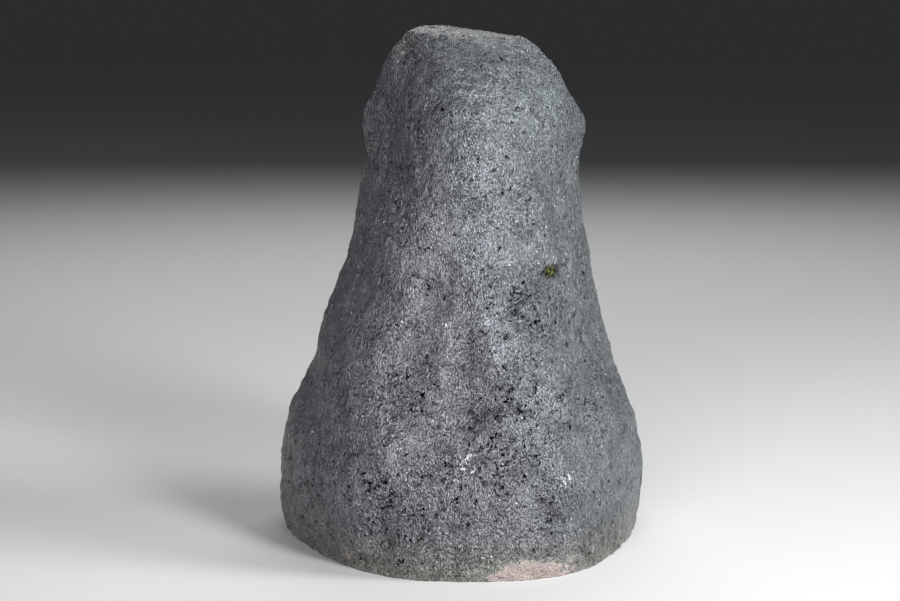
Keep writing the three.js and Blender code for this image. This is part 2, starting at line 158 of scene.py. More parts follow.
for name, box in SOFT_BOXES.items():
    lamp_data = bpy.data.lights.new(name, "AREA")
    lamp_data.shape = "RECTANGLE"
    lamp_data.size, lamp_data.size_y = box["size"]
    lamp_data.energy = box["watts"]
    lamp_data.color = box["tint"]
    lamp_data.spread = math.radians(box["spread"])
    lamp = bpy.data.objects.new(name, lamp_data)
    turn, rise = math.radians(box["turn"]), math.radians(box["rise"])
    way = Vector((math.sin(turn) * math.cos(rise), -math.cos(turn) * math.cos(rise), math.sin(rise)))
    lamp.location = STONE_MIDDLE + way * box["away"]
    lamp.rotation_euler = (-way).to_track_quat("-Z", "Y").to_euler()
    bpy.context.scene.collection.objects.link(lamp)

room = bpy.data.worlds.new("room")
room.use_nodes = True
tree = room.node_tree
tree.nodes.clear()
sight = add_node(tree, "ShaderNodeTexCoord").outputs["Generated"]
upwards = add_node(tree, "ShaderNodeSeparateXYZ", {0: sight}).outputs["Z"]
glow = add_node(tree, "ShaderNodeMix", {0: upwards, 6: ROOM_LOW, 7: ROOM_HIGH}, data_type="RGBA")
backdrop = add_node(tree, "ShaderNodeBackground", {"Color": glow.outputs[2]})
add_node(tree, "ShaderNodeOutputWorld", {"Surface": backdrop.outputs[0]})
bpy.context.scene.world = room

# ---------------------------------------------------------------- rock
# The outside of the bubble: basalt, sawn flat underneath and across the front. Its rough back was
# brushed with a dark grey satin coat, which missed a strip of bare stone at the foot.

MM = 0.001
DOWN = Vector((0, 0, -1))
FRONT_REACH = 61.155 * MM  # the sawn front's distance from the axis at the base
FRONT_LEAN = 0.075  # and how far it leans back as it rises
SAW_WAY = Vector((0, 1, FRONT_LEAN)).normalized()
SAW_STOCK = 4 * MM  # stands out in front and underneath until the saw cuts
SAW_SPARE = 1 * MM  # faces further out than this are sawn away, and stay coarse
FLAT = 0.9999  # the least cosine between a flat side's way and its faces'
ROCK_VOXEL = 2.4 * MM  # the back's faces are half of this, and those in its pits a quarter
FACET_SMOOTHING = 5
LINED = 4 * MM  # the rock this close to the crust is the hollow's wall

# The back's own forms are in millimetres, across and up as the back is seen. First come its lumps and
# knobs, as their width and height, and the coat's brushed grain.
LUMPS = [(12, 0.60), (6, 0.45)]
KNOBS = [(3.2, 0.42), (1.9, 0.26)]
GRAIN_WIDTH = 1.8
GRAIN_LENGTH = 6.0
GRAIN_HEIGHT = 0.40

# Broad dents and swellings: the middle across and up, the radius, and how far each stands out.
DENTS = [
    (-27, 213, 8, -2.4), (-19, 203, 6, -1.2), (-27, 206, 4, 0.8), (4, 196, 7, -0.8), (30, 186, 9, 0.8),
    (25, 96, 11, 1.1), (27, 62, 12, 1.3), (-20, 74, 8, -1.2), (-9, 92, 10, 1.0),
]

# Sharp ridges and furrows, as points from the top down, how far each stands out, and over what width.
CREASES = [
    {"line": [(-3, 204), (-2, 197), (3.4, 181), (7.4, 170), (11, 159), (11, 131), (11.8, 106), (13, 78)],
     "out": 1.9, "wide": 6},
    {"line": [(3, 118), (4, 90), (5, 58)], "out": -1.4, "wide": 5},
    {"line": [(36, 84), (38, 62), (38, 42)], "out": 1.2, "wide": 4},
    {"line": [(30, 157), (34, 150), (38, 144), (39, 136)], "out": -1.0, "wide": 1.3},
    {"line": [(46, 54), (50, 44), (49, 30)], "out": 0.8, "wide": 4},
    {"line": [(30, 34), (36, 27), (42, 19)], "out": -1.2, "wide": 2.2},
]

# Where gas bubbles have left pits, and where small crystals show as painted glints and pale quartz: the
# middle across and up, the radius, and the share of places.
PIT_FIELDS = [
    (22, 106, 13, 0.55), (37, 117, 3, 2.4), (-20, 74, 11, 0.65), (20, 70, 17, 0.5), (18, 47, 19, 0.53),
    (-4, 40, 14, 0.5), (-33, 40, 15, 0.55), (-24, 22, 15, 0.5), (58, 64, 20, 0.38), (52, 14, 14, 0.35),
    (8, 160, 8, 0.3), (18, 140, 9, 0.3), (38, 100, 13, 0.35), (-60, 30, 18, 0.3), (36, 27, 7, 0.7),
]
FLECK_FIELDS = [
    (3, 46, 6, 0.75), (41, 38, 3, 0.9), (-33, 39, 8, 0.30), (-24, 24, 6, 0.2), (-60, 20, 10, 0.1),
    (12, 12, 4, 0.2),
]
FIELD_FADE = 1.4  # how fast a field thins out from its middle
FIELD_END = 4  # the square of how far it reaches, in radii
PIT_BASE = 0.07  # the share of places that are pitted outside the fields
PIT_SHARE_MOST = 2  # more than this makes no place more pitted

# A pit is where a rugged noise, bent sideways to be ragged, passes a level. A wide and weaker noise
# crowds the pits together, and the share lowers the level.
PIT_DEPTH = 1.6 * MM
PIT_WIDTH = 1.7 * MM
PIT_RUGGED = (0.8, 2.0, 3)  # its roughness, the step from one size to the next, and how many sizes
PIT_LEVEL = 0.70
PIT_SHARE_PULL = 0.42
PIT_WALL = 0.18  # from the pit's edge to its floor, in the noise's own measure
BEND_SIZE = 1.3 * MM
BEND_REACH = 0.9  # millimetres
BEND_SHIFTS = [Vector((0, 0, 0)), Vector((31, 7, 3)), Vector((5, 47, 11))]  # one noise for each axis
CROWD_SIZE = 8 * MM
CROWD_PULL = 0.4

SAWN = 1  # the sawn faces' place among the rock's materials, after the coat


def applied(piece):
    """Makes what the modifiers do to a piece its own mesh."""
    graph = bpy.context.evaluated_depsgraph_get()
    mesh = bpy.data.meshes.new_from_object(piece.evaluated_get(graph))
    piece.modifiers.clear()
    piece.data = mesh
    mesh.name = piece.name


def copy_of_node(node, name):
    """A new piece with the mesh of one of the solids."""
    piece = bpy.data.objects.new(name, frame["nodes"][node].data.copy())
    piece.data.materials.clear()
    bpy.context.scene.collection.objects.link(piece)
    return piece


def even_out(piece, voxel):
    """Gives a piece faces that are all about one size."""
    remesh = piece.modifiers.new("even faces", "REMESH")
    remesh.mode = "VOXEL"
    remesh.voxel_size = voxel
    applied(piece)


def surface_of_node(node):
    """A node's surface, to measure distances from."""
    mesh = frame["nodes"][node].data
    return BVHTree.FromPolygons([v.co for v in mesh.vertices], [p.vertices for p in mesh.polygons])


def smooth_out(shape, verts, rounds):
    """Moves each corner half-way to the middle of its neighbours, round after round."""
    axes = {"use_axis_x": True, "use_axis_y": True, "use_axis_z": True}
    for _ in range(rounds):
        bmesh.ops.smooth_vert(shape, verts=verts, factor=0.5, **axes)


def front_distance(point):
    """How far a point stands in front of the sawn face."""
    return (point.y + FRONT_LEAN * point.z - FRONT_REACH) / math.hypot(1, FRONT_LEAN)


def gap_from(across, up, radius, point):
    """The square of how far a point lies from a place of the back, in radii."""
    return ((point.x / MM - across) ** 2 + (point.z / MM - up) ** 2) / radius**2


def share_of(fields, point):
    """The share of places near a point that some soft-edged fields of the back fill."""
    share = 0
    for across, up, radius, most in fields:
        gap = gap_from(across, up, radius, point)
        if gap < FIELD_END:
            share += most * math.exp(-gap * FIELD_FADE)
    return share


def pit_share(point):
    """The share of places near a point that are pitted."""
    return PIT_BASE + share_of(PIT_FIELDS, point)


def pit_at(point, share):
    """How far a point lies inside a pit, from 0 to 1."""
    bend = Vector([noise.noise(point / BEND_SIZE + shift) for shift in BEND_SHIFTS])
    narrow = noise.fractal((point + bend * BEND_REACH * MM) / PIT_WIDTH, *PIT_RUGGED)
    crowd = CROWD_PULL * noise.noise(point / CROWD_SIZE)
    level = PIT_LEVEL - PIT_SHARE_PULL * min(PIT_SHARE_MOST, share)
    return min(1, max(0, (narrow + crowd - level) / PIT_WALL))


def dent_height(point):
    return sum(out * math.exp(-gap_from(across, up, radius, point)) for across, up, radius, out in DENTS)


def crease_height(point):
    height = 0
    x, z = point.x / MM, point.z / MM
    for crease in CREASES:
        line = crease["line"]
        if not line[-1][1] < z < line[0][1]:
            continue
        (x0, z0), (x1, z1) = next((a, b) for a, b in zip(line, line[1:]) if z >= b[1])
        gap = abs(x - x0 - (x1 - x0) * (z - z0) / (z1 - z0)) / crease["wide"]
        ends = min(1, (line[0][1] - z) / crease["wide"], (z - line[-1][1]) / crease["wide"])
        height += crease["out"] * math.exp(-gap) * ends
    return height


def lump_height(sizes, point):
    return sum(height * noise.noise(point / (width * MM)) for width, height in sizes)


def rough_height(point):
    """How far the rock's own forms and the coat's brushed grain stand out from the smooth form."""
    lumps = lump_height(LUMPS, point) + lump_height(KNOBS, point)
    along = Vector((point.x / GRAIN_WIDTH, point.y / GRAIN_WIDTH, point.z / GRAIN_LENGTH)) / MM
    grain = GRAIN_HEIGHT * noise.noise(along)
    return (lumps + grain + crease_height(point) + dent_height(point)) * MM


def add_stock(mesh, way):
    """Moves the flat side that faces this way outwards, so that the saw can cut it back later."""
    shape = bmesh.new()
    shape.from_mesh(mesh)
    shape.normal_update()
    flat = [f for f in shape.faces if f.normal.dot(way) > FLAT]
    grown = bmesh.ops.extrude_face_region(shape, geom=flat)["geom"]
    bmesh.ops.delete(shape, geom=[f for f in flat if f.is_valid], context="FACES_ONLY")
    outer = [g for g in grown if isinstance(g, bmesh.types.BMVert)]
    bmesh.ops.translate(shape, vec=way * SAW_STOCK, verts=outer)
    shape.to_mesh(mesh)
    shape.free()


def saw_off(shape, place, way):
    """Cuts away what stands beyond a plane, and closes the cut with flat sawn faces."""
    everything = shape.verts[:] + shape.edges[:] + shape.faces[:]
    cut = bmesh.ops.bisect_plane(shape, geom=everything, plane_co=place, plane_no=way, clear_outer=True)
    rim = [g for g in cut["geom_cut"] if isinstance(g, bmesh.types.BMEdge)]
    for face in bmesh.ops.triangle_fill(shape, use_beauty=True, edges=rim, normal=way)["geom"]:
        if isinstance(face, bmesh.types.BMFace):
            face.material_index = SAWN
            face.smooth = False


def split_big_faces(shape):
    """Splits the faces of more than four corners into triangles."""
    bmesh.ops.triangulate(shape, faces=[f for f in shape.faces if len(f.verts) > 4])


rock = copy_of_node("rock", "rock_surface")
add_stock(rock.data, DOWN)
add_stock(rock.data, SAW_WAY)
even_out(rock, ROCK_VOXEL)

crust_surface = surface_of_node("amethyst_crust")
shape = bmesh.new()
shape.from_mesh(rock.data)


def rough_verts():
    """The corners of the rough back, which doesn't reach into the hollow that the crust lines."""
    return [v for v in shape.verts if not crust_surface.find_nearest(v.co, LINED)[0]]


def kept(point):
    """Whether a point is left, or nearly, after the saw."""
    return front_distance(point) < SAW_SPARE and point.z > -SAW_SPARE


def refine(verts):
    """Halves the edges that meet at these corners."""
    chosen = set(verts)
    edges = [e for e in shape.edges if e.verts[0] in chosen or e.verts[1] in chosen]
    bmesh.ops.subdivide_edges(shape, edges=edges, cuts=1, use_grid_fill=True)


for face in shape.faces:
    face.smooth = True
rough = rough_verts()
smooth_out(shape, rough, FACET_SMOOTHING)
refine([v for v in rough if kept(v.co)])
refine([v for v in rough_verts() if kept(v.co) and pit_at(v.co, pit_share(v.co)) > 0])
shape.normal_update()

# The coat's colours and grain follow these measures of the back.
height_layer = shape.verts.layers.float.new("height")
pitted_layer = shape.verts.layers.float.new("pitted")
pit_layer = shape.verts.layers.float.new("pit")
flecked_layer = shape.verts.layers.float.new("flecked")
moves = []
for vertex in rough_verts():
    share = pit_share(vertex.co)
    pit = pit_at(vertex.co, share)
    height = rough_height(vertex.co)
    vertex[pitted_layer] = share
    vertex[pit_layer] = pit
    vertex[height_layer] = height / MM
    vertex[flecked_layer] = share_of(FLECK_FIELDS, vertex.co)
    moves.append((vertex, vertex.co + vertex.normal * (height - pit * PIT_DEPTH)))
for vertex, place in moves:
    vertex.co = place
saw_off(shape, Vector((0, 0, 0)), DOWN)
saw_off(shape, Vector((0, FRONT_REACH, 0)), SAW_WAY)
low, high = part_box("rock")
for vertex in shape.verts:
    vertex.co = Vector(min(max(c, a), b) for c, a, b in zip(vertex.co, low, high))
split_big_faces(shape)
shape.to_mesh(rock.data)
shape.free()

# The coat: satin grey brushed on upwards, a little different to each side and at the foot.
COAT_LEFT = (0.056, 0.051, 0.062, 1)
COAT_RIGHT = (0.049, 0.058, 0.062, 1)
COAT_AT_FOOT = (0.068, 0.064, 0.050, 1)
THIN_COAT = (0.105, 0.115, 0.10, 1)
PALE_QUARTZ = (0.55, 0.56, 0.58, 1)
OLIVE_MINERAL = (0.16, 0.17, 0.05, 1)
BARE_DARK = (0.13, 0.10, 0.09, 1)
BARE_LIGHT = (0.36, 0.30, 0.275, 1)
BLACK = (0, 0, 0, 1)
WHITE = (1, 1, 1, 1)

STROKE_SIZE = 0.62 * MM
STROKE_SQUEEZE = 0.52  # the noise's heights are squeezed by this, which makes the strokes tall
SPECK_SIZE = 0.60 * MM
GRIT_SIZE = 0.52 * MM
KNOB_SIZE = 2.0 * MM
COARSE_SIZE = 13 * MM  # the coat is coarser and smoother in patches of this size
PATCH_SIZE = 16 * MM
BLOTCH_SIZE = 4 * MM
SATIN_SIZE = 1.1 * MM
FLECK_SIZE = 1.1 * MM
FLECK_PATCH = 11 * MM
QUARTZ_SIZE = 2.6 * MM

SMALL_PIT_SIZE = 1.6 * MM
PIT_PATCH = 4.5 * MM
CREVICE_SIZE = 2.6 * MM
CREVICE_STRETCH = 1.5  # the noise's heights are stretched by this, which lays the crevices flatter
CREVICE_WIDTH = 0.010  # in the noise's own measure
OLIVE_PLACE = (37 * MM, 117 * MM)  # across and up
OLIVE_SPREAD = (1.2 * MM, 2.8 * MM)  # the mineral fades out between these distances
OLIVE_HOLLOW = (2.0 * MM, 3.4 * MM)  # and its pit between these
FOOT_WARMTH = (4 * MM, 20 * MM)  # the foot's tint fades out between these heights
SCUFFED = (0.5 * MM, 2.2 * MM)  # and its scuffed edge between these
UPWARD = (0.55, 0.85)  # painted shade falls where the way out of the surface rises this much

# The strip of bare stone at the foot: its middle, and its half width, depth and height.
STRIP_PLACE = (28 * MM, -52 * MM, 1.5 * MM)
STRIP_HALF = (20 * MM, 25 * MM, 7 * MM)

rock_coat, tree = node_material("rock_coat")


def mix(share, first, second):
    return add_node(tree, "ShaderNodeMix", {0: share, 6: first, 7: second}, data_type="RGBA").outputs[2]


def calculate(operation, first, second):
    return add_node(tree, "ShaderNodeMath", {0: first, 1: second}, operation=operation).outputs[0]


def times(first, second):
    return calculate("MULTIPLY", first, second)


def plus(first, second):
    return calculate("ADD", first, second)


def minus(first, second):
    return calculate("SUBTRACT", first, second)


def less(first, second):
    return calculate("LESS_THAN", first, second)


def larger(first, second):
    return calculate("MAXIMUM", first, second)


def ramp(value, span, result=(0, 1)):
    """Goes from one result to the other as a value crosses a span, and stays level outside it."""
    return add_node(tree, "ShaderNodeMapRange", {
        "Value": value, "From Min": span[0], "From Max": span[1], "To Min": result[0], "To Max": result[1],
    }).outputs[0]


def cloud(spot, size, detail=2, roughness=0.5):
    """Noise whose patches are about the given size."""
    return add_node(tree, "ShaderNodeTexNoise", {
        "Vector": spot, "Scale": 1 / size, "Detail": detail, "Roughness": roughness,
    }).outputs["Fac"]


def squeezed(spot, amounts):
    """Places with each axis multiplied, which squeezes or stretches a noise along it."""
    return add_node(tree, "ShaderNodeVectorMath", {0: spot, 1: amounts}, operation="MULTIPLY").outputs[0]


def bent(spot, size, reach, detail=1):
    """Places moved about by a noise of the given size."""
    push = add_node(tree, "ShaderNodeTexNoise", {"Vector": spot, "Scale": 1 / size, "Detail": detail})
    push = squeezed(push.outputs["Color"], (reach,) * 3)
    return add_node(tree, "ShaderNodeVectorMath", {0: spot, 1: push}, operation="ADD").outputs[0]


def lit(colour, amount):
    """A colour made lighter or darker."""
    return add_node(tree, "ShaderNodeVectorMath", {0: colour, 3: amount}, operation="SCALE").outputs[0]


def attribute(name):
    """A measure that the mesh carries at its corners."""
    return add_node(tree, "ShaderNodeAttribute", attribute_name=name).outputs["Fac"]


place = add_node(tree, "ShaderNodeTexCoord").outputs["Object"]
sides = add_node(tree, "ShaderNodeSeparateXYZ", {0: place})
swayed = bent(place, size=14 * MM, reach=5 * MM)
frayed = bent(place, size=0.8 * MM, reach=1.6 * MM)
upright = squeezed(swayed, (1, 1, STROKE_SQUEEZE))
strokes = cloud(upright, STROKE_SIZE, detail=1)
knobs = cloud(place, KNOB_SIZE, roughness=0.6)
grit = cloud(place, GRIT_SIZE, detail=1)
coarse = ramp(plus(cloud(place, COARSE_SIZE), times(attribute("pitted"), 0.25)), (0.42, 0.80), (0.75, 1.65))

# Small ragged pits with raised rims: places where a noise runs high, and more of them in the fields.
small_noise = times(cloud(frayed, SMALL_PIT_SIZE, roughness=0.6), 0.65)
pit_noise = plus(small_noise, times(cloud(place, PIT_PATCH, roughness=0.6), 0.35))
pit_level = ramp(attribute("pitted"), (0, 0.9), (0.622, 0.552))
above = minus(plus(pit_noise, times(attribute("pit"), 0.08)), pit_level)
holes = ramp(above, (0, 0.025))
rim = minus(ramp(above, (-0.025, -0.005)), ramp(above, (-0.005, 0.01)))

# Thin crevices join the pits where they crowd.
crowd = plus(cloud(place, BLOTCH_SIZE, detail=3, roughness=0.65), ramp(attribute("pitted"), (0, 1), (0, 0.3)))
crevice_noise = cloud(squeezed(swayed, (1, 1, CREVICE_STRETCH)), CREVICE_SIZE, roughness=0.6)
crevice = add_node(tree, "ShaderNodeMath", {0: crevice_noise, 1: 0.5, 2: CREVICE_WIDTH}, operation="COMPARE")
pits = larger(holes, times(crevice.outputs[0], ramp(crowd, (0.70, 0.74))))

# One pit is lined with an olive-green mineral.
seen_flat = add_node(tree, "ShaderNodeCombineXYZ", {0: sides.outputs["X"], 1: sides.outputs["Z"]}).outputs[0]
from_olive = add_node(tree, "ShaderNodeVectorMath", {
    0: seen_flat, 1: (*OLIVE_PLACE, 0),
}, operation="DISTANCE").outputs["Value"]
olive_pit = ramp(cloud(frayed, 2.2 * MM, roughness=0.6), (0.42, 0.47))
pits = larger(pits, times(ramp(from_olive, OLIVE_HOLLOW, (1, 0)), olive_pit))
olive_grains = ramp(cloud(place, 1.2 * MM, roughness=0.7), (0.46, 0.56))
olive = times(ramp(from_olive, OLIVE_SPREAD, (1, 0)), olive_grains)

# The coat's colour. Painted shade darkens dents, pits and the grain's furrows, and painted light brightens
# what stands out and the pits' rims.
to_the_right = ramp(plus(sides.outputs["X"], times(sides.outputs["Z"], 0.35)), (-5 * MM, 85 * MM))
coat = mix(to_the_right, COAT_LEFT, COAT_RIGHT)
coat = mix(ramp(sides.outputs["Z"], FOOT_WARMTH, (0.8, 0)), coat, COAT_AT_FOOT)
patches = ramp(cloud(place, PATCH_SIZE, detail=4, roughness=0.6), (0.35, 0.68), (0.75, 1.2))
blotches = ramp(cloud(swayed, BLOTCH_SIZE, detail=3, roughness=0.65), (0.32, 0.68), (0.72, 1.3))
# painted shade in the relief's hollows and painted light on its raised places, set by their height
painted_relief_shade = ramp(attribute("height"), (-1.5, 0.9), (0.4, 1.2))
grains = times(minus(cloud(upright, SPECK_SIZE, detail=1), 0.5), coarse)
specks = ramp(grains, (-0.14, 0.16), (0.35, 2.0))
# painted shade makes the pits nearly black, and a painted highlight lightens their rims
shaded = ramp(pits, (0, 1), (1, 0.01))
tone = times(times(times(patches, blotches), painted_relief_shade), times(times(shaded, specks), plus(1, times(rim, 0.5))))
coated = lit(coat, tone)

# Painted glints: pale flecks where small crystals catch the light, and a few larger bits of pale quartz.
glint_cells = add_node(tree, "ShaderNodeTexVoronoi", {"Vector": frayed, "Scale": 1 / FLECK_SIZE})
draw = add_node(tree, "ShaderNodeSeparateColor", {0: glint_cells.outputs["Color"]})
flecked = attribute("flecked")
many = plus(ramp(cloud(place, FLECK_PATCH), (0.45, 0.7), (0.010, 0.04)), times(flecked, 0.45))
painted_glint = times(less(draw.outputs[0], many), ramp(glint_cells.outputs["Distance"], (0.18, 0.34), (1, 0)))
quartz = times(ramp(cloud(frayed, QUARTZ_SIZE, detail=1), (0.54, 0.58)), ramp(flecked, (0.32, 0.42)))
coated = mix(larger(painted_glint, quartz), coated, PALE_QUARTZ)
coated = mix(olive, coated, OLIVE_MINERAL)

# The bare strip at the foot: pinkish stone with a grey-green fringe. The foot's own edge is scuffed.
from_strip = add_node(tree, "ShaderNodeVectorMath", {0: place, 1: STRIP_PLACE}, operation="SUBTRACT")
from_strip = squeezed(from_strip.outputs[0], [1 / half for half in STRIP_HALF])
reach = add_node(tree, "ShaderNodeVectorMath", {0: from_strip}, operation="LENGTH").outputs["Value"]
ragged = plus(reach, ramp(cloud(place, 3.5 * MM, detail=4, roughness=0.65), (0.25, 0.75), (-0.5, 0.5)))
fringe = ramp(ragged, (1.0, 1.3), (0.8, 0))
bare = ramp(ragged, (0.82, 0.95), (1, 0))
stone = mix(cloud(place, 1.4 * MM, detail=3, roughness=0.7), BARE_DARK, BARE_LIGHT)
scratches = ramp(cloud(place, 5 * MM, detail=3), (0.4, 0.6), (0, 0.8))
scuff = times(ramp(sides.outputs["Z"], SCUFFED, (1, 0)), scratches)
coated = mix(plus(fringe, scuff), coated, THIN_COAT)
coated = mix(bare, coated, stone)

# Pits and furrows don't gleam, and painted shade darkens and dulls what faces up.
way_out = add_node(tree, "ShaderNodeNewGeometry").outputs["Normal"]
facing_up = add_node(tree, "ShaderNodeSeparateXYZ", {0: way_out}).outputs["Z"]
gleam = times(minus(1, pits), ramp(grains, (-0.16, 0.08), (0.45, 1.0)))
gleam = times(gleam, ramp(facing_up, UPWARD, (1, 0.25)))
# painted shade: what faces up is painted darker
coated = lit(coated, ramp(facing_up, UPWARD, (1, 0.6)))
satin = ramp(cloud(place, SATIN_SIZE), (0.35, 0.65), (0.22, 0.42))
satin = plus(satin, plus(times(pits, 0.55), times(bare, 0.35)))

fine = times(plus(times(strokes, 1.6), grit), coarse)
relief = plus(fine, plus(times(knobs, 0.6), plus(times(pits, -1.8), times(rim, 0.5))))
bump = add_node(tree, "ShaderNodeBump", {"Height": relief, "Strength": 1.0, "Distance": MM})
soft_bump = add_node(tree, "ShaderNodeBump", {"Height": relief, "Strength": 0.4, "Distance": MM})
surface = add_node(tree, "ShaderNodeBsdfPrincipled", {
    "Base Color": coated, "Roughness": satin, "Normal": bump.outputs[0], "Specular IOR Level": 0.8,
    "Specular Tint": mix(gleam, BLACK, WHITE),
    "Coat Weight": times(gleam, 0.6), "Coat Roughness": 0.3, "Coat Normal": soft_bump.outputs[0],
})
add_node(tree, "ShaderNodeOutputMaterial", {"Surface": surface.outputs[0]})

# Sawn basalt: dense and dark, with the saw's faint strokes and old gas bubbles filled with pale green.
BASALT_DARK = (0.035, 0.034, 0.032, 1)
BASALT_LIGHT = (0.150, 0.144, 0.136, 1)
FILLING_GREEN = (0.13, 0.17, 0.13, 1)
FILLING_PALE = (0.34, 0.34, 0.31, 1)
BASALT_GRAIN = 0.6 * MM
STAIN_SIZE = 22 * MM
BUBBLE_GAP = 3.6 * MM
BUBBLE_REACH = (0.05, 0.30)  # the smallest and the largest bubble, in gaps
BUBBLES_FILLED = 0.22
SAW_MARK_SIZE = 0.8 * MM
SAW_MARK_SQUEEZE = 0.03  # makes the marks run up the face
POLISH_SIZE = 7 * MM

sawn_basalt, tree = node_material("sawn_basalt")
place = add_node(tree, "ShaderNodeTexCoord").outputs["Object"]
warped = bent(place, size=2 * MM, reach=1.6 * MM, detail=2)
grain = mix(cloud(place, BASALT_GRAIN, detail=3, roughness=0.8), BASALT_DARK, BASALT_LIGHT)
grain = lit(grain, ramp(cloud(place, STAIN_SIZE, detail=4, roughness=0.6), (0.35, 0.65), (0.7, 1.35)))
bubbles = add_node(tree, "ShaderNodeTexVoronoi", {"Vector": warped, "Scale": 1 / BUBBLE_GAP})
draw = add_node(tree, "ShaderNodeSeparateColor", {0: bubbles.outputs["Color"]})
reach = ramp(draw.outputs[1], (0, 1), BUBBLE_REACH)
filled = times(less(draw.outputs[0], BUBBLES_FILLED), less(bubbles.outputs["Distance"], reach))
cut_face = mix(filled, grain, mix(draw.outputs[2], FILLING_GREEN, FILLING_PALE))
saw_marks = cloud(squeezed(place, (1, 1, SAW_MARK_SQUEEZE)), SAW_MARK_SIZE, detail=3, roughness=0.6)
relief = plus(saw_marks, times(cloud(place, 0.5 * MM, roughness=0.7), 0.5))
bump = add_node(tree, "ShaderNodeBump", {"Height": relief, "Strength": 0.12, "Distance": MM})
polish = ramp(cloud(place, POLISH_SIZE, detail=3), (0.3, 0.7), (0.28, 0.50))
surface = add_node(tree, "ShaderNodeBsdfPrincipled", {
    "Base Color": cut_face, "Roughness": polish, "Normal": bump.outputs[0],
})
add_node(tree, "ShaderNodeOutputMaterial", {"Surface": surface.outputs[0]})

rock.data.materials.append(rock_coat)
rock.data.materials.append(sawn_basalt)

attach(rock, "root")
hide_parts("rock")

# ---------------------------------------------------------------- crystal crust
# Quartz that grew inwards from the bubble's wall: a dark green skin, bands of agate, milky quartz, and
# then crowded points of amethyst, purple at their tips. The saw cut the crust flush with the rock.

CRUST_VOXEL = 1.5 * MM
CRUST_SKIN = 1.0 * MM  # what lies this close to the rock is the crust's outside
BED_SMOOTHING = 16
BED_FROM_WALL = CRUST_SKIN + 1.2 * MM  # crystals stand only where the bed is this far from the rock
BED_FROM_FRONT = 1.6 * MM  # and this far behind the sawn front
CRUST_STOCK = 2.5 * MM  # stands out in front until the saw cuts
CRUST_STOCK_FROM = 1.2 * MM  # what lies this close behind the front moves out
SAW_LINE = 0.05 * MM  # the cut face lies this far behind the rock's
SAW_SLAB = (0.4, 0.1, 0.6)  # what the saw takes away: its width, thickness and height
CUT_FACE_DEPTH = 0.05 * MM  # faces within this of the saw's line belong to the cut face
BAND_EDGE = 1.2 * MM  # the cut face's edges are shorter than this, so that its bands run true
BAND_ROUNDS = 5  # of halving the long ones

# How many crystals of each size, their radius in millimetres, and how far apart they stand as a share
# of the two radii.
CRYSTAL_SIZES = [
    {"count": 110, "radius": (4.6, 7.2), "apart": 0.78},
    {"count": 300, "radius": (2.8, 4.4), "apart": 0.72},
    {"count": 900, "radius": (1.5, 2.6), "apart": 0.70},
]
CRYSTAL_TRIES = 9  # for each crystal that is wanted
CRYSTAL_SIDES = 6
CRYSTAL_ROOT = 2.5 * MM  # how deep it stands in the bed
CRYSTAL_LEAN = 0.38  # how far it strays from standing square on the bed
SHANK = (-0.1, 0.55)  # the least and the greatest height of the sides for the radius
POINT_SLOPE = 1.25  # height of a point for its radius
SHOULDER_STRAY = 0.16  # how uneven the sides' upper corners are for the radius
TIP_STRAY = 0.14  # how far off the middle a point's tip is for its radius
CRYSTAL_SEED = 41  # another number grows other crystals

# A crystal's corners are counted from the ring of its root to the ring of its shoulders, then its tip and
# the end of its root.
RING = [(k, (k + 1) % CRYSTAL_SIDES) for k in range(CRYSTAL_SIDES)]
TIP = 2 * CRYSTAL_SIDES
ROOT_END = TIP + 1
CRYSTAL_FACES = (
    [(a, b, b + CRYSTAL_SIDES) for a, b in RING]
    + [(a, b + CRYSTAL_SIDES, a + CRYSTAL_SIDES) for a, b in RING]
    + [(a + CRYSTAL_SIDES, b + CRYSTAL_SIDES, TIP) for a, b in RING]
    + [(b, a, ROOT_END) for a, b in RING]
)

POINTS, CUT_FACE, SKIN = 0, 1, 2  # the crust's materials

rng = Random(CRYSTAL_SEED)
rock_wall = surface_of_node("rock")


def wall_distance(point):
    """How far a point of the crust lies from the rock."""
    return rock_wall.find_nearest(point)[3]


def crystal_corners(radius, shank, turn):
    """A six-sided crystal on its root: a short shank and a slightly uneven point."""
    turns = [turn + math.tau * k / CRYSTAL_SIDES for k in range(CRYSTAL_SIDES)]
    foot = [Vector((radius * math.cos(t), radius * math.sin(t), 0)) for t in turns]
    uneven = [rng.uniform(-SHOULDER_STRAY, SHOULDER_STRAY) * radius for _ in foot]
    stray_x = rng.uniform(-TIP_STRAY, TIP_STRAY) * radius
    stray_y = rng.uniform(-TIP_STRAY, TIP_STRAY) * radius
    tip = Vector((stray_x, stray_y, shank + radius * POINT_SLOPE))
    corners = [p - Vector((0, 0, CRYSTAL_ROOT)) for p in foot]
    corners += [p + Vector((0, 0, shank + lift)) for p, lift in zip(foot, uneven)]
    return corners + [tip, Vector((0, 0, -CRYSTAL_ROOT))]


crust = copy_of_node("amethyst_crust", "crystal_crust")
even_out(crust, CRUST_VOXEL)

# The bed that the crystals stand on.
shape = bmesh.new()
shape.from_mesh(crust.data)
inner = [
    v for v in shape.verts
    if wall_distance(v.co) > BED_FROM_WALL and front_distance(v.co) < -BED_FROM_FRONT
]
smooth_out(shape, inner, BED_SMOOTHING)
for vertex in shape.verts:
    if front_distance(vertex.co) > -CRUST_STOCK_FROM:
        vertex.co += SAW_WAY * CRUST_STOCK
shape.normal_update()
inner_set = set(inner)
bed_faces = [f for f in shape.faces if all(v in inner_set for v in f.verts)]
bed_area = []  # up to and with each face
total = 0
for face in bed_faces:
    total += face.calc_area()
    bed_area.append(total)
split_big_faces(shape)
seats = [(f.calc_center_median(), f.normal.copy()) for f in bed_faces]
shape.to_mesh(crust.data)
shape.free()

